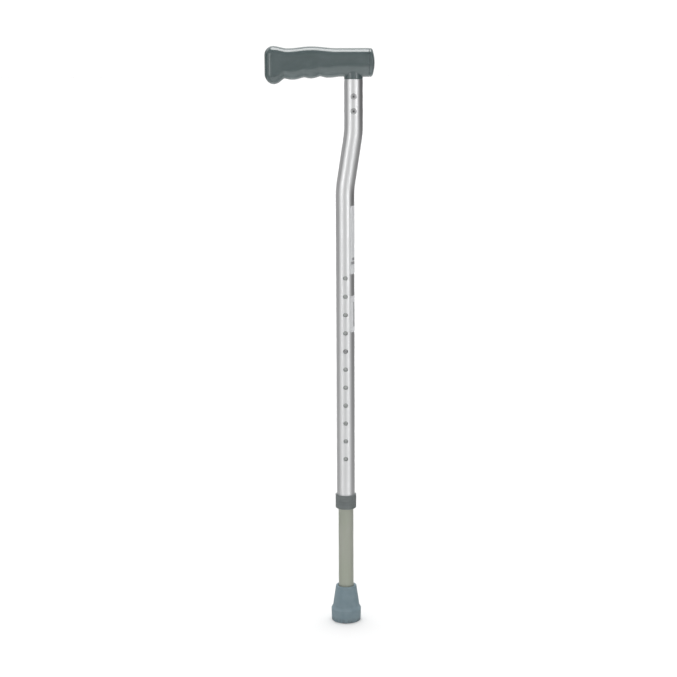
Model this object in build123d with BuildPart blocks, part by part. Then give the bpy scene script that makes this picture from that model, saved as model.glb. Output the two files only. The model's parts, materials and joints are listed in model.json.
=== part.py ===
"""Height-adjustable swan-neck walking stick, in millimetres.

The origin is the centre of the ferrule's base, on the floor. +Z is up, the handle's nose
points along -X, and the setting holes, the button and the rivets face -Y.
"""

import os
from math import cos, pi, sin

from build123d import *

os.makedirs("parts", exist_ok=True)

# ---- tubes ---------------------------------------------------------------
upper_od = 25.0  # upper tube
upper_wall = 1.45
lower_od = 21.0  # lower tube
lower_wall = 1.3
upper_r = upper_od / 2
upper_bore = upper_r - upper_wall
lower_r = lower_od / 2
lower_bore = lower_r - lower_wall

hole_pitch = 25.4  # setting holes, one inch apart
hole_count = 11
hole_r = 3.2
top_hole_z = 492.0
button_step = 4  # the button stands in the fifth hole from the top
button_z = top_hole_z - button_step * hole_pitch

upper_foot_z = 173.4  # lower end of the upper tube, inside the collar
lower_bend_z = 613.0  # where the axis would turn, if the bends were sharp
upper_bend_z = 689.0
bend_radius = 120.0
neck_x = 11.7  # how far the swan neck carries the tube to the rear
tube_top_z = 759.8

lower_foot_z = 14.1
lower_top_z = 496.0

# ---- ferrule -------------------------------------------------------------
ferrule_foot_r = 20.5  # on the floor
ferrule_base_r = 20.9  # top of the band
ferrule_band_z = 17.5
ferrule_cone_z = 21.5
ferrule_cone_r = 18.6
ferrule_rim_r = 14.4
ferrule_top_z = 50.9
ferrule_socket_z = 12.5
ferrule_edge = 1.2  # rounding of its outer edges
tread_rings = (14.5, 10.5, 6.5)  # middle radius of each groove
tread_width = 1.8
tread_depth = 1.6
washer_r = lower_r - 0.2
washer_hole_r = 3.0
washer_thick = 1.5

# ---- bushes --------------------------------------------------------------
sliding = 0.1  # gap round a bush that runs on a tube
pressed = 0.05  # gap round a bush or collar that stays where it is
bush_flange = 5.0
bush_plug = 12.0
bush_bore_r = 6.0
bush_edge = 1.0

# ---- collar --------------------------------------------------------------
collar_r = 14.5
collar_low_z = 165.0
collar_top_z = 184.8
collar_taper_z = 165.9  # top of the bevel round its foot
collar_seat_z = 168.1
collar_lip_r = lower_r + 0.3
collar_lip_wall = 2.8
collar_edge = 0.7
grip_line_count = 3  # fine grooves round the collar
grip_line_low_z = 172.2
grip_line_pitch = 4.0
grip_line_width = 0.9
grip_line_depth = 0.25
bush_slot = 1.6  # split in the bush inside the collar

# ---- button and its spring -------------------------------------------------
button_r = 2.9
button_hole_r = 3.3
button_tip_y = -14.9
button_dome = 2.0
button_flange_r = 4.2
flange_front_y = -8.1  # behind the tube's curved wall
flange_thick = 1.0
tail_r = 1.4
tail_beyond = 0.5  # peened end behind the leaf
leaf_width = 7.0
leaf_thick = 0.6
leaf_end = 9.0  # front leg, above and below the button
turn_below = 46.0  # bottom of the V, below the button
turn_half = 2.2
rear_leg_y = 8.2
rear_leg_foot = 14.0  # the rear leg bears on the tube from here
rear_leg_end = 6.0
leaf_bend = 2.0

# ---- labels --------------------------------------------------------------
label_spans = {"upper_label": (497.2, 590.6), "lower_label": (416.6, 467.3)}  # z of the edges
label_from = 33.0  # degrees round from the holes
label_to = 126.0
label_thick = 0.12

# ---- rivets --------------------------------------------------------------
rivet_z = (736.9, 717.4)
rivet_head_r = 4.2
rivet_head_h = 1.0
rivet_rim_h = 0.3
rivet_sleeve_r = 2.0
rivet_bore_r = 1.2
bulb_y = -5.7  # inner end of the sleeve, swollen by the mandrel
bulb_r = 2.8
bulb_waist = 1.0
bulb_depth = 1.9
mandrel_r = 1.15
mandrel_head_r = 1.9
mandrel_head_h = 0.85

# ---- handle --------------------------------------------------------------
grip_nose_x = -106.9
grip_rear_x = 32.6
grip_rear_low = 762.3
grip_top = 800.5
grip_width = 31.0
grip_corner = 12.0
grip_steps = 60
grip_notch = 0.7  # below 1 the notches are narrower than the finger swells between them
nose_round = 11.0
cap_end_x = 40.3
cap_dome_r = 50.0
cap_step = 0.15  # the cap stands in from the grip's skin by this
cap_gap = 0.1

core_width = 13.0
core_height = 18.0
core_corner = 3.0
core_mid_z = 782.6
core_nose_x = -88.0
core_rear_x = 29.5
spigot_r = upper_bore - 0.1
spigot_foot_z = 702.0
spigot_top_z = core_mid_z + 4
spigot_bore_r = 6.5
spigot_bore_depth = 62.0
spigot_lead = 1.0
plug_gap = 0.3  # between the core's end and the cap's plug

snug = 0.02  # gap between pieces that are moulded, glued or riveted together
beyond = 1.0  # how far a cutter runs past the surface it opens


# ---- ferrule: a flared rubber foot with rings in its tread -----------------
with BuildPart() as ferrule:
    with BuildSketch(Plane.XZ):
        with BuildLine():
            Polyline(
                (0, 0),
                (ferrule_foot_r, 0),
                (ferrule_base_r, ferrule_band_z),
                (ferrule_cone_r, ferrule_cone_z),
                (ferrule_rim_r, ferrule_top_z),
                (lower_r + snug, ferrule_top_z),
                (lower_r + snug, ferrule_socket_z),
                (0, ferrule_socket_z),
                (0, 0),
            )
        make_face()
        outer = vertices().filter_by(lambda v: v.X > lower_r + beyond)
        fillet(outer, ferrule_edge)
    revolve(axis=Axis.Z)
    with BuildSketch(Plane.XY):
        for ring in tread_rings:
            Circle(ring + tread_width / 2)
            Circle(ring - tread_width / 2, mode=Mode.SUBTRACT)
    extrude(amount=tread_depth, mode=Mode.SUBTRACT)
ferrule.part.label = "ferrule"

# ---- ferrule washer: steel disc that the tube's end bears on ----------------
with BuildPart() as ferrule_washer:
    with BuildSketch(Plane.XY.offset(ferrule_socket_z + snug)):
        Circle(washer_r)
        Circle(washer_hole_r, mode=Mode.SUBTRACT)
    extrude(amount=washer_thick)
ferrule_washer.part.label = "ferrule_washer"

# ---- lower tube: slides in the upper one and carries the button -------------
with BuildPart() as lower_tube:
    with BuildSketch(Plane.XY.offset(lower_foot_z)):
        Circle(lower_r)
        Circle(lower_bore, mode=Mode.SUBTRACT)
    extrude(amount=lower_top_z - lower_foot_z)
    with BuildSketch(Plane.XZ):
        with Locations((0, button_z)):
            Circle(button_hole_r)
    extrude(amount=lower_r + beyond, mode=Mode.SUBTRACT)
lower_tube.part.label = "lower_tube"

# ---- guide bush: plastic plug with a flange that runs in the upper tube -----
with BuildPart() as guide_bush:
    with BuildSketch(Plane.XY.offset(lower_top_z + snug)):
        Circle(upper_bore - sliding)
    extrude(amount=bush_flange)
    fillet(guide_bush.faces().sort_by(Axis.Z)[-1].edges(), bush_edge)
    with BuildSketch(Plane.XY.offset(lower_top_z + snug)):
        Circle(lower_bore - pressed)
    extrude(amount=-bush_plug)
    with BuildSketch(Plane.XY.offset(lower_top_z - bush_plug - beyond)):
        Circle(bush_bore_r)
    extrude(amount=bush_plug + bush_flange + 2 * beyond, mode=Mode.SUBTRACT)
guide_bush.part.label = "guide_bush"

# ---- button: domed pin with a flange and a tail that is peened to the leaf --
dome_foot_y = button_tip_y + button_dome
flange_rear_y = flange_front_y + flange_thick
leaf_front_y = flange_rear_y + snug
tail_end_y = leaf_front_y + leaf_thick + tail_beyond
with BuildPart() as snap_button:
    with BuildSketch(Plane.XY.offset(button_z)):
        with BuildLine():
            ThreePointArc(
                (0, button_tip_y),
                (button_r * sin(pi / 4), dome_foot_y - button_dome * cos(pi / 4)),
                (button_r, dome_foot_y),
            )
            Polyline(
                (button_r, dome_foot_y),
                (button_r, flange_front_y),
                (button_flange_r, flange_front_y),
                (button_flange_r, flange_rear_y),
                (tail_r, flange_rear_y),
                (tail_r, tail_end_y),
                (0, tail_end_y),
                (0, button_tip_y),
            )
        make_face()
    revolve(axis=Axis((0, 0, button_z), (0, 1, 0)))
snap_button.part.label = "snap_button"

# ---- button spring: a strip bent into a V, one leg on the tube's rear wall --
leaf_mid_y = leaf_front_y + leaf_thick / 2
with BuildPart() as button_spring:
    with BuildLine(Plane.YZ):
        FilletPolyline(
            (leaf_mid_y, button_z + leaf_end),
            (leaf_mid_y, button_z - leaf_end),
            (-turn_half, button_z - turn_below),
            (turn_half, button_z - turn_below),
            (rear_leg_y, button_z - rear_leg_foot),
            (rear_leg_y, button_z + rear_leg_end),
            radius=leaf_bend,
        )
    with BuildSketch(Plane.XY.offset(button_z + leaf_end)):
        with Locations((0, leaf_mid_y)):
            Rectangle(leaf_width, leaf_thick)
    sweep()
    with BuildSketch(Plane.XZ):
        with Locations((0, button_z)):
            Circle(tail_r + snug)
    extrude(amount=lower_r, mode=Mode.SUBTRACT)
button_spring.part.label = "button_spring"

# ---- upper tube: straight shaft, two gentle bends and a riveted neck --------
with BuildPart() as upper_tube:
    with BuildLine(Plane.XZ):
        FilletPolyline(
            (0, upper_foot_z),
            (0, lower_bend_z),
            (neck_x, upper_bend_z),
            (neck_x, tube_top_z),
            radius=bend_radius,
        )
    with BuildSketch(Plane.XY.offset(upper_foot_z)):
        Circle(upper_r)
        Circle(upper_bore, mode=Mode.SUBTRACT)
    sweep()
    with BuildSketch(Plane.XZ):
        for step in range(hole_count):
            with Locations((0, top_hole_z - step * hole_pitch)):
                Circle(hole_r)
        for z in rivet_z:
            with Locations((neck_x, z)):
                Circle(rivet_sleeve_r + snug)
    extrude(amount=upper_r + beyond, mode=Mode.SUBTRACT)
upper_tube.part.label = "upper_tube"


# ---- labels: thin sheets that follow the tube's right-hand side --------------
labels = []
for name, (low_z, high_z) in label_spans.items():
    with BuildPart() as tube_label:
        with BuildSketch(Plane.XY.offset(low_z)):
            with BuildLine():
                start = label_from - 90
                span = label_to - label_from
                inner = CenterArc((0, 0), upper_r + snug, start, span)
                outer = CenterArc((0, 0), upper_r + snug + label_thick, start, span)
                Line(inner @ 0, outer @ 0)
                Line(inner @ 1, outer @ 1)
            make_face()
        extrude(amount=high_z - low_z)
    tube_label.part.label = name
    labels.append(tube_label)

# ---- collar: cap over the upper tube's foot, with a lip below ---------------
with BuildPart() as end_collar:
    with BuildSketch(Plane.XZ):
        with BuildLine():
            Polyline(
                (collar_lip_r, collar_low_z),
                (collar_lip_r + collar_lip_wall, collar_low_z),
                (collar_r, collar_taper_z),
                (collar_r, collar_top_z),
                (upper_r + pressed, collar_top_z),
                (upper_r + pressed, collar_seat_z),
                (collar_lip_r, collar_seat_z),
                (collar_lip_r, collar_low_z),
            )
        make_face()
        outer = vertices().filter_by(lambda v: v.X > upper_r + beyond)
        fillet(outer, collar_edge)
    revolve(axis=Axis.Z)
    for line in range(grip_line_count):
        with BuildSketch(Plane.XY.offset(grip_line_low_z + line * grip_line_pitch)):
            Circle(collar_r + beyond)
            Circle(collar_r - grip_line_depth, mode=Mode.SUBTRACT)
        extrude(amount=grip_line_width, mode=Mode.SUBTRACT)
end_collar.part.label = "end_collar"

# ---- collar bush: split ring that runs on the lower tube --------------------
with BuildPart() as collar_bush:
    with BuildSketch(Plane.XY.offset(collar_seat_z + snug)):
        Circle(upper_r - pressed)
        Circle(lower_r + sliding, mode=Mode.SUBTRACT)
        with Locations((0, upper_r)):
            Rectangle(bush_slot, upper_r, mode=Mode.SUBTRACT)
    extrude(amount=upper_foot_z - collar_seat_z - 2 * snug)
collar_bush.part.label = "collar_bush"

# ---- rivets: domed head outside, sleeve through both walls, bulb inside -----
head_foot_y = -upper_r - snug
head_rim_y = head_foot_y - rivet_rim_h
head_top_y = head_foot_y - rivet_head_h
head_mid_r = (rivet_head_r + rivet_bore_r) / 2
head_mid_y = head_top_y + 0.25 * (rivet_head_h - rivet_rim_h)
with BuildPart() as neck_rivets:
    for z in rivet_z:
        with BuildSketch(Plane.XY.offset(z)):
            with BuildLine():
                Polyline(
                    (neck_x + rivet_bore_r, head_top_y),
                    (neck_x + rivet_bore_r, bulb_y + bulb_depth),
                    (neck_x + rivet_bore_r + bulb_waist, bulb_y + bulb_depth),
                    (neck_x + bulb_r, bulb_y + bulb_waist),
                    (neck_x + rivet_sleeve_r, bulb_y),
                    (neck_x + rivet_sleeve_r, head_foot_y),
                    (neck_x + rivet_head_r, head_foot_y),
                    (neck_x + rivet_head_r, head_rim_y),
                )
                ThreePointArc(
                    (neck_x + rivet_head_r, head_rim_y),
                    (neck_x + head_mid_r, head_mid_y),
                    (neck_x + rivet_bore_r, head_top_y),
                )
            make_face()
        revolve(axis=Axis((neck_x, 0, z), (0, 1, 0)))
neck_rivets.part.label = "neck_rivets"

# ---- mandrels: what stays in the rivets after the stem snaps off ------------
mandrel_seat_y = bulb_y + bulb_depth + pressed
mandrel_rim_y = mandrel_seat_y + mandrel_head_h
mandrel_end_y = mandrel_rim_y + 0.7
with BuildPart() as rivet_mandrels:
    for z in rivet_z:
        with BuildSketch(Plane.XY.offset(z)):
            with BuildLine():
                Polyline(
                    (neck_x, -upper_r - 0.1),
                    (neck_x + mandrel_r, -upper_r + 0.1),
                    (neck_x + mandrel_r, mandrel_seat_y),
                    (neck_x + mandrel_head_r, mandrel_seat_y),
                    (neck_x + mandrel_head_r, mandrel_rim_y),
                    (neck_x + mandrel_head_r / 2, mandrel_end_y),
                    (neck_x, mandrel_end_y),
                    (neck_x, -upper_r - 0.1),
                )
            make_face()
        revolve(axis=Axis((neck_x, 0, z), (0, 1, 0)))
rivet_mandrels.part.label = "rivet_mandrels"

# ---- handle core: bar along the grip with a spigot down into the tube -------
with BuildPart() as handle_core:
    with BuildSketch(Plane.YZ.offset(core_nose_x)):
        with Locations((0, core_mid_z)):
            RectangleRounded(core_width, core_height, core_corner)
    extrude(amount=core_rear_x - core_nose_x)
    with BuildSketch(Plane.XY.offset(spigot_foot_z)):
        with Locations((neck_x, 0)):
            Circle(spigot_r)
    extrude(amount=spigot_top_z - spigot_foot_z)
    chamfer(handle_core.faces().sort_by(Axis.Z)[0].outer_wire().edges(), spigot_lead)
    with BuildSketch(Plane.XY.offset(spigot_foot_z)):
        with Locations((neck_x, 0)):
            Circle(spigot_bore_r)
    extrude(amount=spigot_bore_depth, mode=Mode.SUBTRACT)
    with BuildSketch(Plane.XZ):
        for z in rivet_z:
            with Locations((neck_x, z)):
                Circle(rivet_sleeve_r + snug)
    extrude(amount=spigot_r + beyond, mode=Mode.SUBTRACT)
handle_core.part.label = "handle_core"

# ---- grip: crest and dip on top, finger grooves below, spur at the nose -----
underside = [
    (grip_nose_x, 755.2),
    (-94.4, 753.2),
    (-80.4, 760.6),
    (-69.7, 758.9),
    (-54.3, 761.9),
    (-45.0, 760.5),
    (-32.9, 763.2),
    (-21.8, 761.4),
    (-6.9, 762.7),
    (grip_rear_x, grip_rear_low),
]
topside = [
    (grip_nose_x, 803.1),
    (-96.4, 803.6),
    (-75.7, grip_top),
    (-45.0, 802.9),
    (-10.2, grip_top),
    (grip_rear_x, grip_top),
]


def eased(outline, x, notch=1.0):
    """Height of an outline at x, level at each of its high and low points."""
    for (x0, z0), (x1, z1) in zip(outline, outline[1:]):
        if x <= x1:
            from_start = (x - x0) / (x1 - x0)
            from_high = from_start if z0 > z1 else 1 - from_start
            fall = (1 - cos(pi * from_high**notch)) / 2
            return max(z0, z1) - abs(z1 - z0) * fall
    return outline[-1][1]


with BuildPart() as handle_grip:
    for step in range(grip_steps + 1):
        x = grip_nose_x + (grip_rear_x - grip_nose_x) * step / grip_steps
        low = eased(underside, x, grip_notch)
        high = eased(topside, x)
        with BuildSketch(Plane.YZ.offset(x)):
            with Locations((0, (low + high) / 2)):
                RectangleRounded(grip_width, high - low, grip_corner)
    loft()
    fillet(handle_grip.faces().sort_by(Axis.X)[0].edges(), nose_round)
    with BuildSketch(Plane.XY.offset(tube_top_z + snug)):
        with Locations((neck_x, 0)):
            Circle(upper_r)
    extrude(amount=core_mid_z - tube_top_z)
    with BuildSketch(Plane.XY.offset(tube_top_z - beyond)):
        with Locations((neck_x, 0)):
            Circle(spigot_r + snug)
    extrude(amount=spigot_top_z + snug - tube_top_z + beyond, mode=Mode.SUBTRACT)
    with BuildSketch(Plane.YZ.offset(core_nose_x - snug)):
        with Locations((0, core_mid_z)):
            RectangleRounded(core_width + 2 * snug, core_height + 2 * snug, core_corner + snug)
    extrude(amount=grip_rear_x + beyond - core_nose_x, mode=Mode.SUBTRACT)
handle_grip.part.label = "handle_grip"

# ---- end cap: domed plug in the grip's rear end -----------------------------
cap_mid_z = (grip_rear_low + grip_top) / 2
cap_height = grip_top - grip_rear_low - 2 * cap_step
with BuildPart() as handle_end_cap:
    with BuildSketch(Plane.YZ.offset(grip_rear_x + cap_gap)):
        with Locations((0, cap_mid_z)):
            RectangleRounded(grip_width - 2 * cap_step, cap_height, grip_corner)
    extrude(amount=cap_end_x - grip_rear_x)
    with Locations((cap_end_x - cap_dome_r, 0, cap_mid_z)):
        Sphere(cap_dome_r, mode=Mode.INTERSECT)
    with BuildSketch(Plane.YZ.offset(core_rear_x + plug_gap)):
        with Locations((0, core_mid_z)):
            RectangleRounded(core_width - 2 * pressed, core_height - 2 * pressed, core_corner)
    extrude(amount=grip_rear_x + beyond - core_rear_x)
handle_end_cap.part.label = "handle_end_cap"

for piece in (
    ferrule,
    ferrule_washer,
    lower_tube,
    guide_bush,
    snap_button,
    button_spring,
    upper_tube,
    *labels,
    end_collar,
    collar_bush,
    neck_rivets,
    rivet_mandrels,
    handle_core,
    handle_grip,
    handle_end_cap,
):
    export_step(piece.part, f"parts/{piece.part.label}.step")
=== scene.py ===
"""Looks of a height-adjustable swan-neck walking stick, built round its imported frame, in metres.

+Z is up, the handle's nose points along -X, and the setting holes face -Y, where the camera is.
The outlines of moulded and turned pieces are drawn in millimetres and scaled by mm at the end.
"""

import json
from math import atan, atan2, cos, pi, radians, sin, sqrt, tan

import bmesh
import bpy
from mathutils import Matrix, Vector


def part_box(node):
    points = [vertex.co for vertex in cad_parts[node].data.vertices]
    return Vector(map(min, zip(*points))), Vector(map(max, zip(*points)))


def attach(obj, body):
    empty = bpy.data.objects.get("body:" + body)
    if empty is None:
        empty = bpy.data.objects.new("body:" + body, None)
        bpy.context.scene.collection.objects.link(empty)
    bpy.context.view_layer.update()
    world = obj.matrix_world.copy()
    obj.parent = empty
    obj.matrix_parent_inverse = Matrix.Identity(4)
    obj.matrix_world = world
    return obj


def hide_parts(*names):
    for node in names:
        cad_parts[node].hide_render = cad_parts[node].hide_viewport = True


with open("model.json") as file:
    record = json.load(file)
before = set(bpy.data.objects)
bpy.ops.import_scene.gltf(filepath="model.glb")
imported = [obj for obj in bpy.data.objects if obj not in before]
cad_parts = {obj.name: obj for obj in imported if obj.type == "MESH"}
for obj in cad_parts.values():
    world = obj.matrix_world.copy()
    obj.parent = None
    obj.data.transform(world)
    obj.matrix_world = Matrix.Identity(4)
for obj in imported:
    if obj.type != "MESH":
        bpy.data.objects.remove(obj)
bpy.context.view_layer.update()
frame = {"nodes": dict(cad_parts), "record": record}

mm = 0.001

# ---- places and sizes that the frame gives ----------------------------------
grip_low, grip_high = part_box("handle_grip")
cap_low, cap_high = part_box("handle_end_cap")
tube_low, tube_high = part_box("upper_tube")
stem_low, stem_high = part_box("lower_tube")
ferrule_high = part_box("ferrule")[1]
collar_low, collar_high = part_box("end_collar")
button_low, button_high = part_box("snap_button")
rivets_low, rivets_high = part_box("neck_rivets")

upper_r = tube_high.y
lower_r = stem_high.y
neck_x = tube_high.x - upper_r
button_z = (button_low.z + button_high.z) / 2
rivet_head_r = (rivets_high.x - rivets_low.x) / 2
rivet_z = (rivets_high.z - rivet_head_r, rivets_low.z + rivet_head_r)

# ---- sizes that its boxes don't show -----------------------------------------
upper_bore = upper_r - 1.45 * mm
lower_bore = lower_r - 1.3 * mm
hole_pitch = 25.4 * mm
hole_r = 3.2 * mm
holes_above_button = 4
hole_count = 11
button_hole_r = 3.3 * mm
rivet_hole_r = 2.02 * mm
snug = 0.02  # mm between pieces that are glued or pressed together


# ---- mesh helpers ------------------------------------------------------------
def mesh_object(name, points, faces, sharp=35):
    """A smooth-shaded object; edges that turn by more than sharp degrees stay crisp."""
    mesh = bpy.data.meshes.new(name)
    mesh.from_pydata(points, [], faces)
    mesh.update()
    mesh.shade_smooth()
    mesh.set_sharp_from_angle(angle=radians(sharp))
    piece = bpy.data.objects.new(name, mesh)
    bpy.context.scene.collection.objects.link(piece)
    return piece


def rounded(corners, arc_steps=6):
    """A closed outline through corners (x, y, radius), with an arc at each corner that has a radius."""
    outline = []
    for i, (x, y, radius) in enumerate(corners):
        here = Vector((x, y))
        if radius == 0:
            outline.append(here)
            continue
        back = (Vector(corners[i - 1][:2]) - here).normalized()
        ahead = (Vector(corners[(i + 1) % len(corners)][:2]) - here).normalized()
        half = back.angle(ahead) / 2
        centre = here + (back + ahead).normalized() * radius / sin(half)
        start = here + back * radius / tan(half) - centre
        end = here + ahead * radius / tan(half) - centre
        for step in range(arc_steps + 1):
            spoke = start.lerp(end, step / arc_steps).normalized() * radius
            outline.append(centre + spoke)
    return outline


def lathe(outline, steps=96):
    """Points and faces of a closed outline of (radius, height) in mm, turned round the Z axis."""
    points, rings = [], []
    for radius, height in outline:
        count = steps if radius > 0.0001 else 1
        rings.append(range(len(points), len(points) + count))
        for k in range(count):
            turn = 2 * pi * k / steps
            points.append((radius * cos(turn) * mm, radius * sin(turn) * mm, height * mm))
    faces = []
    for here, there in zip(rings, rings[1:] + rings[:1]):
        if len(here) == 1 and len(there) == 1:
            continue
        for k in range(steps):
            n = (k + 1) % steps
            corners = (here[k % len(here)], here[n % len(here)], there[n % len(there)], there[k % len(there)])
            faces.append(tuple(dict.fromkeys(corners)))
    return points, faces


def bridge(rings, last_closed=True):
    """Points and faces of a skin over rings of equal length; the first is filled, and the last may be."""
    count = len(rings[0])
    points = [point for ring in rings for point in ring]
    faces = []
    for j in range(len(rings) - 1):
        for k in range(count):
            n = (k + 1) % count
            faces.append((j * count + k, j * count + n, (j + 1) * count + n, (j + 1) * count + k))
    faces.append(tuple(reversed(range(count))))
    if last_closed:
        faces.append(tuple(range((len(rings) - 1) * count, len(rings) * count)))
    return points, faces


def joined(parts):
    """Points and faces of several (points, faces) pairs as one mesh."""
    points, faces = [], []
    for more_points, more_faces in parts:
        shift = len(points)
        points += more_points
        faces += [tuple(v + shift for v in face) for face in more_faces]
    return points, faces


def combine(piece, tool, operation):
    """Cuts tool out of piece, or joins it on, and removes tool."""
    modifier = piece.modifiers.new(operation, "BOOLEAN")
    modifier.operation = operation
    modifier.solver = "EXACT"
    modifier.object = tool
    bpy.context.view_layer.update()
    result = bpy.data.meshes.new_from_object(piece.evaluated_get(bpy.context.evaluated_depsgraph_get()))
    piece.modifiers.clear()
    piece.data = result
    bpy.data.objects.remove(tool)


def mend(mesh, weld=2e-6):
    """Welds the hairline gaps that a cut leaves, and splits its many-sided faces into triangles."""
    work = bmesh.new()
    work.from_mesh(mesh)
    bmesh.ops.remove_doubles(work, verts=work.verts, dist=weld)
    bmesh.ops.dissolve_degenerate(work, edges=work.edges, dist=weld)
    many_sided = [face for face in work.faces if len(face.verts) > 4]
    bmesh.ops.triangulate(work, faces=many_sided, ngon_method="BEAUTY")
    work.to_mesh(mesh)
    work.free()


# ---- node helpers --------------------------------------------------------------
class Nodes:
    """Makes the nodes of one tree. A value is a number or another node's socket."""

    def __init__(self, tree):
        self.tree = tree

    def node(self, kind, **settings):
        made = self.tree.nodes.new(kind)
        for setting, value in settings.items():
            setattr(made, setting, value)
        return made

    def feed(self, socket, value):
        if isinstance(value, bpy.types.NodeSocket):
            self.tree.links.new(value, socket)
        else:
            socket.default_value = value

    def math(self, operation, *values):
        made = self.node("ShaderNodeMath", operation=operation)
        for socket, value in zip(made.inputs, values):
            self.feed(socket, value)
        return made.outputs["Value"]

    def span(self, value, low, high, out_low=0.0, out_high=1.0):
        """value's range from low to high, eased to the range from out_low to out_high."""
        made = self.node("ShaderNodeMapRange", interpolation_type="SMOOTHSTEP")
        ends = {"From Min": low, "From Max": high, "To Min": out_low, "To Max": out_high}
        for name, number in ends.items():
            made.inputs[name].default_value = number
        self.feed(made.inputs["Value"], value)
        return made.outputs["Result"]

    def within(self, value, low, high, edge):
        """1 where value lies between low and high, with soft edges."""
        rise = self.span(value, low - edge, low + edge)
        fall = self.span(value, high - edge, high + edge)
        return self.math("SUBTRACT", rise, fall)

    def between(self, share, first, second):
        """first where share is 0, second where it is 1."""
        rest = self.math("SUBTRACT", 1.0, share)
        return self.math("ADD", self.math("MULTIPLY", rest, first), self.math("MULTIPLY", share, second))

    def xyz(self, vector):
        made = self.node("ShaderNodeSeparateXYZ")
        self.feed(made.inputs["Vector"], vector)
        return made.outputs["X"], made.outputs["Y"], made.outputs["Z"]

    def azimuth(self, x, y):
        """Radians round the Z axis, from -Y towards +X."""
        return self.math("ARCTAN2", x, self.math("MULTIPLY", y, -1.0))


class Look(Nodes):
    """A node material round one Principled shader; its patterns lie in the frame's coordinates at rest."""

    def __init__(self, name, metallic=0.0):
        self.material = bpy.data.materials.new(name)
        self.material.use_nodes = True
        super().__init__(self.material.node_tree)
        self.shader = self.tree.nodes["Principled BSDF"]
        self.shader.inputs["Metallic"].default_value = metallic
        self.place = self.node("ShaderNodeTexCoord").outputs["Object"]
        self.bumps = None

    def noise(self, scale, detail=3.0, stretch=(1, 1, 1)):
        """Noise with features of about 1/scale metres, drawn out along an axis by a stretch below 1."""
        mapping = self.node("ShaderNodeMapping")
        self.feed(mapping.inputs["Vector"], self.place)
        mapping.inputs["Scale"].default_value = stretch
        texture = self.node("ShaderNodeTexNoise")
        self.feed(texture.inputs["Vector"], mapping.outputs["Vector"])
        texture.inputs["Scale"].default_value = scale
        texture.inputs["Detail"].default_value = detail
        return texture.outputs["Fac"]

    def feed_colour(self, socket, value):
        self.feed(socket, value if isinstance(value, bpy.types.NodeSocket) else (*value, 1))

    def mix(self, factor, first, second):
        colour_a, colour_b, colour_result = 6, 7, 2  # the node has sockets of the same names for other types
        made = self.node("ShaderNodeMix", data_type="RGBA")
        self.feed(made.inputs["Factor"], factor)
        self.feed_colour(made.inputs[colour_a], first)
        self.feed_colour(made.inputs[colour_b], second)
        return made.outputs[colour_result]

    def colour(self, value):
        self.feed_colour(self.shader.inputs["Base Color"], value)

    def roughness(self, value):
        self.feed(self.shader.inputs["Roughness"], value)

    def specular(self, value):
        self.shader.inputs["Specular IOR Level"].default_value = value

    def bump(self, height, depth, strength):
        """Raises the surface by up to depth metres with height."""
        made = self.node("ShaderNodeBump")
        made.inputs["Strength"].default_value = strength
        made.inputs["Distance"].default_value = depth
        self.feed(made.inputs["Height"], height)
        if self.bumps:
            self.feed(made.inputs["Normal"], self.bumps)
        self.bumps = made.outputs["Normal"]
        self.feed(self.shader.inputs["Normal"], self.bumps)


# ---- materials ---------------------------------------------------------------
def bright_aluminium():
    look = Look("bright_aluminium", metallic=1.0)
    drawn = look.noise(2600, detail=4, stretch=(1, 1, 0.006))
    broad = look.noise(700, detail=2, stretch=(1, 1, 0.004))
    scratches = look.noise(5200, detail=2, stretch=(1, 1, 0.03))
    smears = look.noise(26, stretch=(1, 1, 0.5))
    look.colour(look.mix(look.span(broad, 0.3, 0.7), (0.84, 0.85, 0.855), (0.9, 0.905, 0.91)))
    grain = look.span(drawn, 0.3, 0.7, -0.03, 0.03)
    look.roughness(look.math("ADD", grain, look.span(smears, 0.35, 0.7, 0.33, 0.39)))
    look.bump(drawn, depth=0.000012, strength=0.5)
    look.bump(look.span(scratches, 0.62, 0.72), depth=0.000008, strength=0.4)
    return look.material


def coated_aluminium():
    """A grey-beige coat, painted lighter and greyer where the tube runs in the upper one: a painted lift of
    the shade seen through the setting holes.
    """
    look = Look("coated_aluminium", metallic=0.25)
    wear = look.noise(1500, stretch=(1, 1, 0.012))
    cloud = look.noise(45, stretch=(1, 1, 0.4))
    z = look.xyz(look.place)[2]
    # above these heights the coat is painted lighter and greyer, a painted lift of the shade inside the
    # setting holes
    hole_lift_from, hole_lift_above = 0.19, 0.24
    coat = look.mix(look.span(cloud, 0.3, 0.7), (0.368, 0.392, 0.325), (0.395, 0.408, 0.357))
    base = look.mix(look.span(z, hole_lift_from, hole_lift_above), coat, (0.43, 0.45, 0.44))
    look.colour(look.mix(look.span(wear, 0.62, 0.76, 0.0, 0.5), base, (0.45, 0.465, 0.43)))
    look.roughness(look.span(wear, 0.35, 0.75, 0.54, 0.42))
    look.bump(wear, depth=0.00001, strength=0.4)
    look.bump(look.noise(9000, detail=2), depth=0.000008, strength=0.3)
    return look.material


def rivet_aluminium():
    look = Look("rivet_aluminium", metallic=1.0)
    pitted = look.noise(1800, detail=4)
    look.colour(look.mix(look.span(pitted, 0.35, 0.7), (0.42, 0.425, 0.43), (0.56, 0.565, 0.57)))
    look.roughness(look.span(pitted, 0.3, 0.7, 0.3, 0.44))
    look.bump(pitted, depth=0.00004, strength=0.5)
    return look.material


def spring_steel():
    look = Look("spring_steel", metallic=1.0)
    rolled = look.noise(1900, stretch=(1, 1, 0.03))
    look.colour(look.mix(look.span(rolled, 0.3, 0.7), (0.16, 0.16, 0.165), (0.26, 0.26, 0.265)))
    look.roughness(look.span(rolled, 0.3, 0.7, 0.34, 0.5))
    look.bump(rolled, depth=0.00001, strength=0.5)
    return look.material


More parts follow.
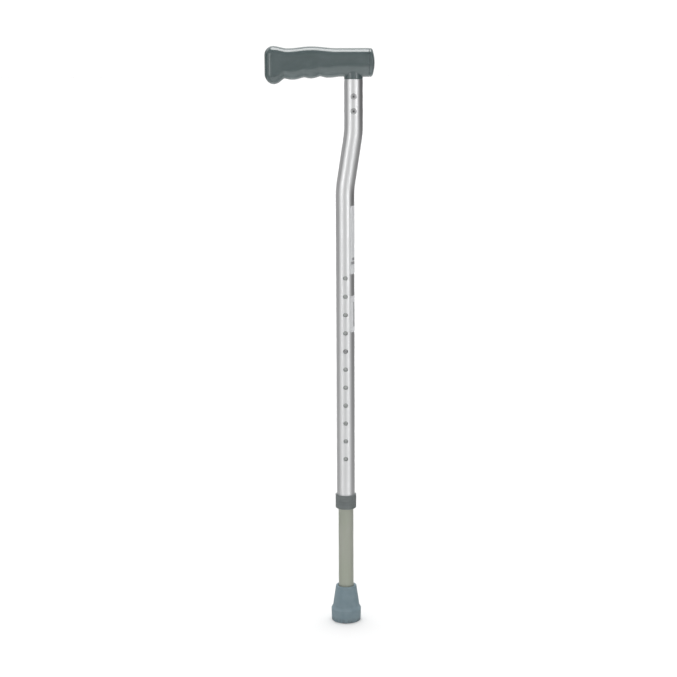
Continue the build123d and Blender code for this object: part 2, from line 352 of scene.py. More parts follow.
def button_steel():
    look = Look("button_steel", metallic=1.0)
    rubbed = look.noise(2400, stretch=(1, 1, 0.15))
    look.colour(look.mix(look.span(rubbed, 0.35, 0.7), (0.3, 0.305, 0.31), (0.42, 0.425, 0.43)))
    look.roughness(look.span(rubbed, 0.3, 0.7, 0.3, 0.42))
    look.bump(rubbed, depth=0.000008, strength=0.4)
    return look.material


def handle_plastic():
    look = Look("handle_plastic")
    look.specular(1.0)
    mottle = look.noise(60, detail=4)
    handled = look.noise(34, detail=4, stretch=(0.6, 1, 1))
    skin = look.noise(1400)
    scuffs = look.noise(900, detail=4, stretch=(0.12, 1, 0.5))
    base = look.mix(look.span(mottle, 0.3, 0.7), (0.062, 0.091, 0.093), (0.073, 0.102, 0.105))
    look.colour(look.mix(look.span(scuffs, 0.66, 0.78, 0.0, 0.25), base, (0.15, 0.175, 0.175)))
    worn = look.span(handled, 0.35, 0.72, 0.08, 0.13)
    look.roughness(look.math("ADD", worn, look.span(scuffs, 0.62, 0.78, 0.0, 0.06)))
    look.bump(look.noise(150, detail=2), depth=0.00012, strength=0.04)
    look.bump(skin, depth=0.00003, strength=0.05)
    return look.material


def core_plastic():
    look = Look("core_plastic")
    fibres = look.noise(1200, detail=4, stretch=(0.2, 1, 1))
    look.colour(look.mix(look.span(fibres, 0.35, 0.7), (0.05, 0.055, 0.055), (0.08, 0.085, 0.085)))
    look.roughness(0.6)
    look.bump(fibres, depth=0.00004, strength=0.5)
    return look.material


def collar_plastic():
    look = Look("collar_plastic")
    grain = look.noise(2200)
    cloud = look.noise(120)
    look.colour(look.mix(look.span(cloud, 0.3, 0.7), (0.13, 0.149, 0.149), (0.156, 0.175, 0.175)))
    look.roughness(look.span(grain, 0.3, 0.7, 0.38, 0.5))
    look.bump(grain, depth=0.00004, strength=0.4)
    return look.material


def bush_nylon():
    look = Look("bush_nylon")
    cloud = look.noise(300)
    look.colour(look.mix(look.span(cloud, 0.3, 0.7), (0.66, 0.66, 0.62), (0.76, 0.76, 0.73)))
    look.roughness(0.45)
    look.bump(look.noise(2500), depth=0.00003, strength=0.4)
    return look.material


def ferrule_rubber():
    """Blue-grey rubber with a pale bloom, darker in patches near the floor."""
    look = Look("ferrule_rubber")
    z = look.xyz(look.place)[2]
    grain = look.noise(1700, detail=4)
    bloom = look.noise(90, detail=4)
    floor_dark_top = 0.008
    base = look.mix(look.span(bloom, 0.3, 0.7), (0.168, 0.232, 0.264), (0.198, 0.264, 0.294))
    patches = look.span(look.noise(260, detail=4), 0.35, 0.65)
    # darker in patches over the lowest few mm, towards the floor
    floor_dark = look.math("MULTIPLY", look.span(z, floor_dark_top, 0.0, 0.0, 0.7), patches)
    look.colour(look.mix(floor_dark, base, (0.1, 0.105, 0.105)))
    look.roughness(look.span(grain, 0.3, 0.7, 0.64, 0.82))
    look.bump(grain, depth=0.00006, strength=0.5)
    look.bump(look.noise(220), depth=0.00015, strength=0.15)
    return look.material


def label_film():
    """Pale film with plain printed bars and blocks, placed by height and by turn round the tube."""
    look = Look("label_film")
    x, y, z = look.xyz(look.place)
    turn = look.math("MULTIPLY", look.azimuth(x, y), 180 / pi)
    fibre = look.noise(500)
    paper = look.mix(look.span(fibre, 0.3, 0.7), (0.62, 0.63, 0.645), (0.68, 0.69, 0.7))
    blocks = [  # low and high edge in mm, then from and to in degrees round from the holes
        (510.5, 514.6, 40, 82),
        (516.0, 519.8, 48, 82),
        (424.5, 458.5, 60, 70),
        (424.5, 448.0, 74, 84),
        (424.5, 448.0, 90, 96),
        (530.0, 575.0, 92, 95),
        (530.0, 566.0, 101, 104),
        (540.0, 575.0, 110, 113),
    ]
    blur_up, blur_round = 0.3 * mm, 1.0
    ink = 0.0
    for low, high, start, end in blocks:
        tall = look.within(z, low * mm, high * mm, blur_up)
        wide = look.within(turn, start, end, blur_round)
        ink = look.math("MAXIMUM", ink, look.math("MULTIPLY", tall, wide))
    look.colour(look.mix(look.math("MULTIPLY", ink, 0.75), paper, (0.12, 0.125, 0.13)))
    look.roughness(look.span(fibre, 0.3, 0.7, 0.4, 0.52))
    look.bump(fibre, depth=0.00002, strength=0.4)
    return look.material


looks = {
    make.__name__: make()
    for make in (
        bright_aluminium,
        coated_aluminium,
        rivet_aluminium,
        spring_steel,
        button_steel,
        handle_plastic,
        core_plastic,
        collar_plastic,
        bush_nylon,
        ferrule_rubber,
        label_film,
    )
}


def fit(piece, body, slot, node):
    """Gives a piece its material and its body, and lets it stand for a CAD node."""
    piece.data.materials.clear()
    piece.data.materials.append(looks[slot])
    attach(piece, body)
    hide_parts(node)


# ---- grip --------------------------------------------------------------------
grip_width = 31.0
grip_corner = 12.0
grip_nose_x = grip_low.x / mm
grip_rear_x = grip_high.x / mm
grip_rear_low = 762.3
grip_top = 800.5
nose_round = 11.0
rear_round = 0.5
belly_width = 15.4  # the lower edges grow from round corners at the nose to larger quarter ellipses
belly_height = 19.0
belly_start_x = -95.0
belly_full_x = -10.0
notch = 0.7  # below 1 the notches are narrower than the finger swells between them
underside = [
    (grip_nose_x, 755.2),
    (-94.4, 753.2),
    (-80.4, 760.6),
    (-69.7, 758.9),
    (-54.3, 761.9),
    (-45.0, 760.5),
    (-32.9, 763.2),
    (-21.8, 761.4),
    (-6.9, 762.7),
    (grip_rear_x, grip_rear_low),
]
topside = [
    (grip_nose_x, 803.1),
    (-96.4, 803.6),
    (-75.7, grip_top),
    (-45.0, 802.9),
    (-10.2, grip_top),
    (grip_rear_x, grip_top),
]

core_z = 782.6
core_width = 13.04
core_half_height = 9.02
core_corner = (3.02, 3.02)
core_nose_x = -88.02
spigot_hole_r = 10.97
spigot_hole_z = core_z + 4.02
neck_foot_z = tube_high.z / mm + snug


def eased(outline, x, sharpness=1.0):
    """Height of an outline at x, level at each of its high and low points."""
    for (x0, z0), (x1, z1) in zip(outline, outline[1:]):
        if x <= x1:
            from_start = (x - x0) / (x1 - x0)
            from_high = from_start if z0 > z1 else 1 - from_start
            fall = (1 - cos(pi * from_high**sharpness)) / 2
            return max(z0, z1) - abs(z1 - z0) * fall
    return outline[-1][1]


def rounded_box(width, low, high, upper, lower):
    """Outline (y, z) of a rounded rectangle in mm; always the same number of points.

    upper and lower are the (width, height) of its upper and lower corners.
    """
    corners = [
        (width / 2 - lower[0], low + lower[1], lower, -90),
        (width / 2 - upper[0], high - upper[1], upper, 0),
        (upper[0] - width / 2, high - upper[1], upper, 90),
        (lower[0] - width / 2, low + lower[1], lower, 180),
    ]
    arc_steps = 12
    side_steps = (12, 6, 12, 6)
    outline = []
    for i, (y, z, size, start) in enumerate(corners):
        for step in range(arc_steps + 1):
            turn = radians(start + 90 * step / arc_steps)
            outline.append(Vector((y + size[0] * cos(turn), z + size[1] * sin(turn))))
        next_y, next_z, next_size, next_start = corners[(i + 1) % 4]
        turn = radians(next_start)
        begin = outline[-1]
        end = Vector((next_y + next_size[0] * cos(turn), next_z + next_size[1] * sin(turn)))
        outline += [begin.lerp(end, step / side_steps[i]) for step in range(1, side_steps[i])]
    return outline


def section(x, *box):
    """A rounded box across the handle at x, in metres."""
    return [(x * mm, y * mm, z * mm) for y, z in rounded_box(*box)]


def belly(x):
    """Width and height of the lower corners at x, in mm."""
    share = min(max((x - belly_start_x) / (belly_full_x - belly_start_x), 0), 1)
    return tuple(grip_corner + (size - grip_corner) * share for size in (belly_width, belly_height))


def grip_section(x, inset=0.0):
    low = eased(underside, x, notch) + inset
    high = eased(topside, x) - inset
    upper = (grip_corner - inset, grip_corner - inset)
    lower = tuple(size - inset for size in belly(x))
    return section(x, grip_width - 2 * inset, low, high, upper, lower)


def grip_body():
    """The grip from its nose to its rear end, then the cavity that the core fills."""
    rings = []
    nose_steps = 14
    for step in range(nose_steps):
        turn = pi / 2 * step / nose_steps
        rings.append(grip_section(grip_nose_x + nose_round * (1 - cos(turn)), nose_round * (1 - sin(turn))))
    body_steps = 150
    body_start = grip_nose_x + nose_round
    for step in range(body_steps + 1):
        rings.append(grip_section(body_start + (grip_rear_x - rear_round - body_start) * step / body_steps))
    rear_steps = 4
    for step in range(1, rear_steps + 1):
        turn = pi / 2 * step / rear_steps
        rings.append(grip_section(grip_rear_x - rear_round * (1 - sin(turn)), rear_round * (1 - cos(turn))))
    cavity = (core_width, core_z - core_half_height, core_z + core_half_height, core_corner, core_corner)
    rings += [section(grip_rear_x, *cavity), section(core_nose_x, *cavity)]
    return bridge(rings)


def underside_at(x, y):
    """Height of the grip's lower skin, in mm."""
    low = eased(underside, x, notch)
    width, height = belly(x)
    out = max(abs(y) - (grip_width / 2 - width), 0)
    return low + height * (1 - sqrt(1 - (out / width) ** 2))


def grip_neck():
    """The round shoulder that meets the tube, flared into the grip's underside."""
    steps = 96
    arc_steps = 8
    radius = upper_r / mm
    centre_x = neck_x / mm
    flare = 1.1
    dive = 0.25  # the flare ends this far inside the grip's skin
    edge = 0.2  # chamfer round the foot; the rings next above it keep the wall's shading straight
    wall_foot = neck_foot_z + 0.35
    lowest_wall_top = neck_foot_z + 0.4
    lowest_flare = neck_foot_z + 0.5
    rings = []

    def ring(reach, height):
        points = []
        for k in range(steps):
            turn = 2 * pi * k / steps
            points.append(((centre_x + reach * cos(turn)) * mm, reach * sin(turn) * mm, height(turn) * mm))
        rings.append(points)

    def root(turn, reach):
        return underside_at(centre_x + reach * cos(turn), reach * sin(turn))

    def flare_start(turn):
        return max(root(turn, radius) - flare, lowest_flare)

    ring(radius - edge, lambda turn: neck_foot_z)
    ring(radius, lambda turn: neck_foot_z + edge)
    ring(radius, lambda turn: wall_foot)
    ring(radius, lambda turn: max(flare_start(turn) - edge, lowest_wall_top))
    ring(radius, flare_start)
    for step in range(1, arc_steps + 1):
        rise = pi / 2 * step / arc_steps

        def height(turn):
            start = flare_start(turn)
            end = root(turn, radius + flare) + dive
            return start + (end - start) * sin(rise)

        ring(radius + flare * (1 - cos(rise)), height)
    ring(radius - 0.5, lambda turn: core_z - core_half_height - 1.0)  # well inside the grip, below its core
    return bridge(rings)


def spigot_hole():
    foot = neck_foot_z - 2.0  # below the neck, so that the cut runs right through
    outline = [(0, foot), (spigot_hole_r, foot), (spigot_hole_r, spigot_hole_z), (0, spigot_hole_z)]
    points, faces = lathe(outline)
    return [(x + neck_x, y, z) for x, y, z in points], faces


grip_sharp = 50
grip = mesh_object("palm_grip", *grip_body(), sharp=grip_sharp)
combine(grip, mesh_object("neck_tool", *grip_neck()), "UNION")
combine(grip, mesh_object("spigot_tool", *spigot_hole()), "DIFFERENCE")
mend(grip.data)
grip.data.shade_smooth()
grip.data.set_sharp_from_angle(angle=radians(grip_sharp))
fit(grip, "upper_shaft", "handle_plastic", "handle_grip")

# ---- end cap -------------------------------------------------------------------
dome_r = 50.0
cap_edge = 1.9
cap_groove = 0.4  # round its front edge, where it meets the grip
cap_rear = cap_high.x / mm
cap_face_x = grip_rear_x + 0.1
cap_mid_z = (grip_rear_low + grip_top) / 2
plug_x = cap_low.x / mm
plug_gap = 0.07
plug_corner = (3.0, 3.0)


def end_cap():
    """A plug that enters the grip's cavity, the cap's front face, its rounded edge and its dome."""
    width = (cap_high.y - cap_low.y) / mm
    half = width / 2
    upper = (grip_corner, grip_corner)
    lower = (half - 0.1, belly_height)  # nearly a half ellipse, as the grip's rear end is
    outline = rounded_box(width, cap_low.z / mm - cap_mid_z, cap_high.z / mm - cap_mid_z, upper, lower)

    def dome_x(y, z):
        return cap_rear - dome_r + sqrt(dome_r**2 - y * y - z * z)

    def ring(scale, x=None, back=0.0):
        points = []
        for y, z in outline:
            place = dome_x(y * scale, z * scale) - back if x is None else x
            points.append((place * mm, y * scale * mm, (cap_mid_z + z * scale) * mm))
        return points

    plug_half = core_half_height - plug_gap
    plug = (core_width - 2 * plug_gap, core_z - plug_half, core_z + plug_half, plug_corner, plug_corner)
    rings = [section(plug_x, *plug), section(cap_face_x, *plug)]
    lip = 0.3 * cap_groove
    rings.append(ring(1 - cap_groove / half, x=cap_face_x))
    rings.append(ring(1 - lip / half, x=cap_face_x + lip))
    rings.append(ring(1, x=cap_face_x + cap_groove))
    edge_steps = 8
    for step in range(edge_steps + 1):
        turn = pi / 2 * step / edge_steps
        inset = cap_edge * (1 - cos(turn)) / half
        rings.append(ring(1 - inset, back=cap_edge * (1 - sin(turn))))
    dome_steps = 10
    dome_scale = 1 - cap_edge / half
    for step in range(1, dome_steps):
        rings.append(ring(dome_scale * (1 - step / dome_steps)))
    points, faces = bridge(rings, last_closed=False)
    centre = len(points)
    points.append((cap_rear * mm, 0, cap_mid_z * mm))
    count = len(outline)
    last = centre - count
    faces += [(last + k, last + (k + 1) % count, centre) for k in range(count)]
    return points, faces


cap = mesh_object("grip_end_cap", *end_cap(), sharp=40)
fit(cap, "upper_shaft", "handle_plastic", "handle_end_cap")

# ---- tubes ---------------------------------------------------------------------
columns = 96
patch = 8  # half-width of the square patch round a hole, in columns and in rows
patch_row = 0.8 * mm
row_spacing = 6 * mm
hole_chamfer = 0.12 * mm
end_chamfer = 0.25 * mm


def tube_object(name, outer, inner, stations, holes):
    """A tube along stations (x, z, lean), closed at both ends, with round holes through its -Y wall.

    holes maps the station at a hole's centre to the hole's radius. The tube stands upright there.
    """
    points, faces, normals = [], [], {}

    def on_tube(radius, station, k):
        x, z, lean = stations[station]
        turn = 2 * pi * k / columns
        side = Vector((cos(lean), 0, -sin(lean)))
        spoke = side * sin(turn) + Vector((0, -cos(turn), 0))
        return Vector((x, 0, z)) + radius * spoke, spoke

    def add(point, normal=None):
        points.append(point)
        if normal is not None:
            normals[len(points) - 1] = normal
        return len(points) - 1

    def band(ring, following):
        for i in range(len(ring)):
            n = (i + 1) % len(ring)
            faces.append((ring[i], ring[n], following[n], following[i]))

    def patch_edge(centre):
        """(station, column) round the square patch at centre, which wraps over column 0."""
        steps = range(-patch, patch)
        edge = [(centre - patch, k) for k in steps]
        edge += [(centre + k, patch) for k in steps]
        edge += [(centre + patch, -k) for k in steps]
        edge += [(centre - k, -patch) for k in steps]
        return edge

    def wall(radius, inward):
        """One skin of the tube with its patches; returns its end rings and the rims of its holes."""
        facing = -1 if inward else 1
        grid = []
        for j in range(len(stations)):
            spots = [on_tube(radius, j, k) for k in range(columns)]
            grid.append([add(point, facing * spoke) for point, spoke in spots])
        skin = []
        for j in range(len(stations) - 1):
            holed = any(centre - patch <= j < centre + patch for centre in holes)
            for k in range(columns):
                if holed and (k < patch or k >= columns - patch):
                    continue
                n = (k + 1) % columns
                skin.append((grid[j][k], grid[j][n], grid[j + 1][n], grid[j + 1][k]))
        rims = {}
        for centre, hole in holes.items():
            ring = [grid[j][k % columns] for j, k in patch_edge(centre)]
            cx, cz = stations[centre][:2]
            rim = hole if inward else hole + hole_chamfer
            square = [(points[v].x - cx, points[v].z - cz) for v in ring]
            layers = 6
            for layer in range(1, layers + 1):
                share = 1 - (1 - layer / layers) ** 1.5  # the rings crowd towards the rim
                inner_ring = []
                for x, z in square:
                    turn = atan2(z, x)
                    px = x + (rim * cos(turn) - x) * share
                    pz = z + (rim * sin(turn) - z) * share
                    spoke = Vector((px / radius, -sqrt(1 - (px / radius) ** 2), 0))
                    inner_ring.append(add(Vector((cx, 0, cz + pz)) + radius * spoke, facing * spoke))
                for i in range(len(ring)):
                    n = (i + 1) % len(ring)
                    skin.append((ring[i], ring[n], inner_ring[n], inner_ring[i]))
                ring = inner_ring
            rims[centre] = ring
        if inward:
            skin = [tuple(reversed(face)) for face in skin]
        faces.extend(skin)
        return grid[0], grid[-1], rims

    outer_foot, outer_top, outer_rims = wall(outer, False)
    inner_foot, inner_top, inner_rims = wall(inner, True)
    skin_count = len(faces)

    def end_ring(radius, station, rise):
        return [add(on_tube(radius, station, k)[0] + Vector((0, 0, rise))) for k in range(columns)]

    foot = end_ring(outer - end_chamfer, 0, -end_chamfer)
    foot_bore = end_ring(inner, 0, -end_chamfer)
    band(foot, outer_foot)
    band(foot_bore, foot)
    band(inner_foot, foot_bore)
    top = end_ring(outer - end_chamfer, -1, end_chamfer)
    top_bore = end_ring(inner, -1, end_chamfer)
    band(outer_top, top)
    band(top, top_bore)
    band(top_bore, inner_top)
    for centre, hole in holes.items():
        cx, cz = stations[centre][:2]
        shrink = hole / (hole + hole_chamfer)
        edge = []
        for v in outer_rims[centre]:
            x, z = (points[v].x - cx) * shrink, (points[v].z - cz) * shrink
            edge.append(add(Vector((cx + x, hole_chamfer - sqrt(outer**2 - x**2), cz + z))))
        band(outer_rims[centre], edge)
        band(edge, inner_rims[centre])
    tube = mesh_object(name, points, faces, sharp=30)
    automatic = Vector((0, 0, 0))
    loops = []
    for face in tube.data.polygons:
        for v in face.vertices:
            loops.append(normals[v] if face.index < skin_count else automatic)
    tube.data.normals_split_custom_set(loops)
    return tube


def upright(x, start, end, holes):
    """Stations up a straight tube from start to end, with fine rows round each hole; holes is {z: radius}."""
    levels = {start, end}
    for z in holes:
        levels.update(z + patch_row * step for step in range(-patch, patch + 1))
    ordered = sorted(levels)
    filled = []
    for low, high in zip(ordered, ordered[1:]):
        count = max(1, round((high - low) / row_spacing))
        filled += [low + (high - low) * step / count for step in range(count)]
    filled.append(end)
    return [(x, z, 0.0) for z in filled]


def hole_stations(stations, holes):
    """Each hole's radius by the index of the station at its height."""
    found = {}
    for z, radius in holes.items():
        nearest = min(range(len(stations)), key=lambda j: abs(stations[j][1] - z))
        found[nearest] = radius
    return found


lower_bend_z = 613.0 * mm
upper_bend_z = 689.0 * mm
bend_radius = 120.0 * mm
neck_lean = atan(neck_x / (upper_bend_z - lower_bend_z))
bend_run = bend_radius * tan(neck_lean / 2)


def upper_tube():
    """Straight up past the setting holes, back through the swan neck, and up to the handle."""
    top_hole_z = button_z + holes_above_button * hole_pitch
    setting_holes = {top_hole_z - step * hole_pitch: hole_r for step in range(hole_count)}
    rivet_holes = {z: rivet_hole_r for z in rivet_z}
    stations = upright(0, tube_low.z + end_chamfer, lower_bend_z - bend_run, setting_holes)
    bend_steps = 10
    for step in range(1, bend_steps + 1):
        lean = neck_lean * step / bend_steps
        z = lower_bend_z - bend_run + bend_radius * sin(lean)
        stations.append((bend_radius * (1 - cos(lean)), z, lean))
    x0, z0 = stations[-1][:2]
    x1 = neck_x - bend_radius * (1 - cos(neck_lean))
    z1 = upper_bend_z + bend_run - bend_radius * sin(neck_lean)
    rise_steps = 8
    for step in range(1, rise_steps):
        share = step / rise_steps
        stations.append((x0 + (x1 - x0) * share, z0 + (z1 - z0) * share, neck_lean))
    for step in range(bend_steps):
        lean = neck_lean * (1 - step / bend_steps)
        z = upper_bend_z + bend_run - bend_radius * sin(lean)
        stations.append((neck_x - bend_radius * (1 - cos(lean)), z, lean))
    stations += upright(neck_x, upper_bend_z + bend_run, tube_high.z - end_chamfer, rivet_holes)
    holes = hole_stations(stations, {**setting_holes, **rivet_holes})
    return tube_object("swan_neck_tube", upper_r, upper_bore, stations, holes)


def lower_tube():
    button_hole = {button_z: button_hole_r}
    stations = upright(0, stem_low.z + end_chamfer, stem_high.z - end_chamfer, button_hole)
    return tube_object("telescopic_tube", lower_r, lower_bore, stations, hole_stations(stations, button_hole))


fit(upper_tube(), "upper_shaft", "bright_aluminium", "upper_tube")
fit(lower_tube(), "lower_shaft", "coated_aluminium", "lower_tube")

# ---- collar --------------------------------------------------------------------
collar_r = collar_high.x / mm
collar_foot = collar_low.z / mm
collar_top = collar_high.z / mm
collar_bevel = 0.9
collar_round = 0.7
collar_seat = collar_foot + 3.1
line_count = 3  # fine grooves round the collar
line_low = collar_foot + 7.2
line_pitch = 4.0
line_width = 0.9
line_depth = 0.25
line_slope = 0.15


def end_collar():
    lip_r = lower_r / mm + 0.3
    bore_r = upper_r / mm + 0.05
    bore_chamfer = 0.3
    corners = [
        (lip_r, collar_foot, 0.2),
        (collar_r - collar_bevel, collar_foot, collar_round),
        (collar_r, collar_foot + collar_bevel, collar_round),
    ]
    for line in range(line_count):
        low = line_low + line_pitch * line
        corners += [
            (collar_r, low, 0.12),
            (collar_r - line_depth, low + line_slope, 0.1),
            (collar_r - line_depth, low + line_width - line_slope, 0.1),
            (collar_r, low + line_width, 0.12),
        ]
    corners += [
        (collar_r, collar_top, collar_round),
        (bore_r + bore_chamfer, collar_top, 0),
        (bore_r, collar_top - bore_chamfer, 0),
        (bore_r, collar_seat, 0),
        (lip_r, collar_seat, 0),
    ]
    return lathe(rounded(corners))


fit(mesh_object("foot_collar", *end_collar()), "upper_shaft", "collar_plastic", "end_collar")

# ---- ferrule -------------------------------------------------------------------
ferrule_r = ferrule_high.x / mm
ferrule_top = ferrule_high.z / mm
band_top = 17.4
cone_foot = 21.6
cone_r = 18.6
rim_r = 14.4
socket_z = 12.5
tread_rings = (6.5, 10.5, 14.5)  # middle radius of each groove
tread_depth = 1.6
tread_foot = 0.9  # half-width of a groove on the floor
tread_roof = 0.75


def ferrule_outline():
    socket_r = lower_r / mm + snug
    corners = [(0, 0, 0)]
    for middle in tread_rings:
        corners += [
            (middle - tread_foot, 0, 0.25),
            (middle - tread_roof, tread_depth, 0.3),
            (middle + tread_roof, tread_depth, 0.3),
            (middle + tread_foot, 0, 0.25),
        ]
    corners += [
        (ferrule_r - 0.4, 0, 1.2),
        (ferrule_r, band_top, 0.9),
        (cone_r, cone_foot, 1.4),
        (rim_r, ferrule_top, 1.1),
        (socket_r + 1.0, ferrule_top, 0.4),
        (socket_r, ferrule_top - 1.6, 0.5),
        (socket_r, socket_z, 0),
        (0, socket_z, 0),
    ]
    return rounded(corners)


ferrule = mesh_object("rubber_ferrule", *lathe(ferrule_outline(), steps=128))
fit(ferrule, "lower_shaft", "ferrule_rubber", "ferrule")

# ---- button, rivets and mandrels -------------------------------------------------
facing_front = Matrix.Rotation(pi / 2, 4, "X")  # turns a lathe's axis from +Z to -Y


def turned(outline, places, steps=48):
    """Lathed solids whose axis points along -Y, one at each (x, z); the outline's heights are -y."""
    points, faces = lathe(outline, steps)
    parts = []
    for x, z in places:
        moved = Matrix.Translation((x, 0, z)) @ facing_front
        parts.append(([moved @ Vector(point) for point in points], faces))
    return joined(parts)


def button_outline():
    """Peened tail, the leaf's seat, the flange inside the tube, and the domed shank."""
    tip = -button_low.y / mm
    dome = 2.0
    shank_r, tail_r, flange_r = 2.9, 1.4, 4.2
    tail_end, flange_back, flange_front = 6.48, 7.1, 8.1
    chamfer = 0.2
    outline = [
        (0, tail_end),
        (tail_r - 0.5, tail_end),
        (tail_r, tail_end + 0.22),
        (tail_r, flange_back),
        (flange_r, flange_back),
        (flange_r, flange_front),
        (shank_r + chamfer, flange_front),
        (shank_r, flange_front + chamfer),
    ]
    steps = 14
    for step in range(steps):
        turn = pi / 2 * step / steps
        outline.append((shank_r * cos(turn), tip - dome + dome * sin(turn)))
    outline.append((0, tip))
    return outline


def rivet_outline():
    """The sleeve with its swollen inner end, then the head, dished round the mandrel's hole."""
    seat = upper_r / mm + snug
    head = rivet_head_r / mm
    top = -rivets_low.y / mm
    bore, sleeve, bulb = 1.2, 2.0, 2.8
    crown = 1.6
    outline = [(bore, 3.8), (2.2, 3.8), (bulb, 4.7), (sleeve, 5.7), (sleeve, seat)]
    outline += [(head - 0.1, seat), (head, seat + 0.1)]
    steps = 10
    rim = seat + 0.28
    for step in range(steps + 1):
        share = step / steps
        outline.append((head - (head - crown) * share, rim + (top - rim) * sin(pi / 2 * share) ** 0.8))
    outline += [(bore + 0.18, top - 0.06), (bore + 0.05, top - 0.25), (bore, top - 0.5)]
    return outline


def mandrel_outline():
    """The head that swelled the rivet's end, and the stem up to where it broke."""
    head, stem = 1.9, 1.15
    outline = [(0, 2.3), (head / 2, 2.3), (1.7, 2.75), (head, 3.1), (head, 3.75), (stem, 3.75)]
    outline += [(stem, 12.2), (0.7, 12.3), (0.35, 12.55), (0, 12.6)]
    return outline


rivet_places = [(neck_x, z) for z in rivet_z]
button = mesh_object("height_button", *turned(button_outline(), [(0, button_z)], steps=64), sharp=40)
fit(button, "button", "button_steel", "snap_button")
rivets = mesh_object("blind_rivets", *turned(rivet_outline(), rivet_places), sharp=50)
fit(rivets, "upper_shaft", "rivet_aluminium", "neck_rivets")
mandrels = mesh_object("rivet_stems", *turned(mandrel_outline(), rivet_places), sharp=50)
fit(mandrels, "upper_shaft", "spring_steel", "rivet_mandrels")

# ---- labels --------------------------------------------------------------------
label_from = 33.0  # degrees round from the holes
label_to = 126.0
label_corner = 3.0 * mm


def label_patch(node):
    """A thin film round the tube, with rounded corners."""
    low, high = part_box(node)
    inner = upper_r + snug * mm
    outer = high.x
    across = outer * radians(label_to - label_from)
    edge_steps = 8
    runs = [label_corner * (1 - cos(pi / 2 * step / edge_steps)) for step in range(edge_steps + 1)]
    middle_steps = 24
    flat = across - 2 * label_corner
    middle = [label_corner + flat * step / middle_steps for step in range(1, middle_steps)]
    runs = runs + middle + [across - run for run in reversed(runs)]
    rows = 12
    rings = []
    for run in runs:
        turn = radians(label_from) + run / outer
        from_edge = min(run, across - run, label_corner)
        dip = label_corner - sqrt(label_corner**2 - (label_corner - from_edge) ** 2)
        bottom, top = low.z + dip, high.z - dip
        levels = [bottom + (top - bottom) * row / rows for row in range(rows + 1)]
        front = [(outer * sin(turn), -outer * cos(turn), z) for z in reversed(levels)]
        back = [(inner * sin(turn), -inner * cos(turn), z) for z in levels]
        rings.append(front + back)
    return bridge(rings)


for node in ("upper_label", "lower_label"):
    label = mesh_object(node + "_film", *label_patch(node), sharp=40)
    fit(label, "upper_shaft", "label_film", node)

# ---- CAD nodes get their finish too: the ones inside the stick aren't replaced --------
for entry in frame["record"]["subparts"]:
    for slot in frame["nodes"][entry["node"]].material_slots:
        slot.material = looks[entry["material_slot"]]

# ---- floor, light and camera -------------------------------------------------------
floor_size = 30.0
# azimuth in degrees from -Y towards +X, then the studio's brightness there at eye level and low down
panels = [
    (-180, 1.08, 0.93),
    (-169, 1.05, 0.93),
    (-160, 0.45, 0.7),
    (-146, 0.05, 0.43),
    (-128, 0.45, 0.34),
    (-112, 0.5, 0.34),
    (-96, 0.05, 0.38),
    (-84, 0.3, 0.41),
    (-70, 0.84, 0.54),
    (-57, 0.8, 0.57),
    (-46.5, 0.98, 0.56),
    (-45.7, 3.6, 0.56),
    (-41.3, 3.6, 0.56),
    (-40.5, 0.98, 0.55),
    (-24, 0.82, 0.6),
    (-12, 0.53, 0.48),
    (-2, 0.58, 0.45),
    (10, 0.71, 0.65),
    (21, 0.88, 0.65),
    (32.4, 1.02, 0.61),
    (33.2, 4.0, 0.61),
    (36.6, 4.0, 0.63),
    (37.4, 1.12, 0.66),
    (45, 1.15, 0.77),
    (54, 0.74, 0.83),
    (62, 0.26, 0.63),
    (75, 0.26, 0.39),
    (90, 0.03, 0.27),
    (120, 0.12, 0.32),
    (143, 0.1, 0.19),
    (160, 0.45, 0.61),
    (169, 1.05, 0.93),
]
panel_peak = 4.0
# heights of a direction, from -1, straight down, to 1, straight up, between which one part fades to the next
level_to_low = (-0.06, -0.28)
panels_to_sky = (0.25, 0.62)
panels_to_floor = (-0.2, -0.6)
sky_depth = (-0.2, 0.5)  # the same along Y, from the sky's front to its back
sky_front, sky_back = 0.4, 1.4
softbox = (0.0, 0.04, 1.0)  # towards the large one overhead
softbox_core = 18.0  # degrees from its middle to where it starts to fade
softbox_edge = 22.0
softbox_radiance = 5.2
backdrop = 1.05  # what the camera sees behind the floor's edge: a plain pale wall
floor_glow = 1.15  # what a glossy surface sees of the lit floor, at its brightest
glow_mean, glow_swing = 0.78, 0.22  # it is brightest to the front and back

camera_place = (-0.0096, -2.1671, 0.8184)
camera_tilt = 10.7625  # degrees below level
camera_roll = -0.217
camera_lens = 85.0812


def pale_floor():
    size = floor_size
    corners = [(-size, -size, 0), (size, -size, 0), (size, size, 0), (-size, size, 0)]
    floor = mesh_object("studio_floor", corners, [(0, 1, 2, 3)])
    look = Look("floor_paint")
    look.colour((0.79, 0.79, 0.79))
    look.roughness(0.9)
    look.specular(0.1)
    look.bump(look.noise(60), depth=0.0002, strength=0.2)
    floor.data.materials.append(look.material)
    floor.visible_glossy = False  # the tubes reflect the studio's panels and the glow instead


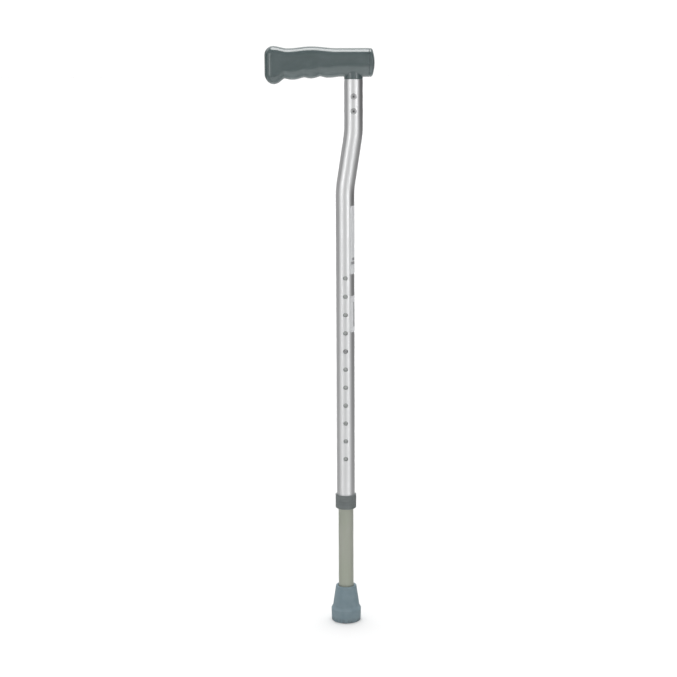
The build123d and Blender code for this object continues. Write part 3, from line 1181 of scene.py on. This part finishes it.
def studio_light():
    """Panels all round, a sky above them, a softbox overhead and the floor's glow below."""
    world = bpy.data.worlds.new("studio")
    bpy.context.scene.world = world
    world.use_nodes = True
    background = world.node_tree.nodes["Background"]
    make = Nodes(world.node_tree)
    direction = make.node("ShaderNodeTexCoord").outputs["Generated"]
    x, y, z = make.xyz(direction)
    turn = make.math("ADD", make.math("DIVIDE", make.azimuth(x, y), 2 * pi), 0.5)

    def all_round(level):
        """The panels' brightness, at eye level (1) or low down (2)."""
        ramp = make.node("ShaderNodeValToRGB")
        make.feed(ramp.inputs["Fac"], turn)
        elements = ramp.color_ramp.elements
        elements.remove(elements[-1])
        for i, panel in enumerate(panels):
            position = panel[0] / 360 + 0.5
            element = elements[0] if i == 0 else elements.new(position)
            element.position = position
            element.color = (panel[level] / panel_peak,) * 3 + (1,)
        return make.math("MULTIPLY", ramp.outputs["Color"], panel_peak)

    round_about = make.between(make.span(z, *level_to_low), all_round(1), all_round(2))
    sky = make.between(make.span(y, *sky_depth), sky_front, sky_back)
    light = make.between(make.span(z, *panels_to_sky), round_about, sky)

    across, along = make.math("MULTIPLY", x, x), make.math("MULTIPLY", y, y)
    level_length = make.math("ADD", along, across)
    lengthwise = make.math("DIVIDE", make.math("SUBTRACT", along, across), level_length)
    swing = make.math("MULTIPLY", lengthwise, glow_swing)
    glow = make.math("MULTIPLY", make.math("ADD", swing, glow_mean), floor_glow)
    light = make.between(make.span(z, *panels_to_floor), light, glow)

    towards = make.node("ShaderNodeVectorMath", operation="DOT_PRODUCT")
    make.feed(towards.inputs[0], direction)
    make.feed(towards.inputs[1], tuple(Vector(softbox).normalized()))
    edge, core = cos(radians(softbox_edge)), cos(radians(softbox_core))
    overhead = make.math("MULTIPLY", make.span(towards.outputs["Value"], edge, core), softbox_radiance)

    seen = make.node("ShaderNodeLightPath").outputs["Is Camera Ray"]
    strength = make.between(seen, make.math("ADD", light, overhead), backdrop)
    make.feed(background.inputs["Strength"], strength)
    background.inputs["Color"].default_value = (1, 1, 1, 1)


def studio_camera():
    camera = bpy.data.objects.new("camera", bpy.data.cameras.new("camera"))
    bpy.context.scene.collection.objects.link(camera)
    camera.data.sensor_width = 36.0
    camera.data.lens = camera_lens
    camera.data.clip_end = 200
    tilt = Matrix.Rotation(radians(90 - camera_tilt), 4, "X")
    roll = Matrix.Rotation(radians(camera_roll), 4, "Z")
    camera.matrix_world = Matrix.Translation(camera_place) @ tilt @ roll
    bpy.context.scene.camera = camera


pale_floor()
studio_light()
studio_camera()
bpy.context.scene.view_settings.view_transform = "Standard"
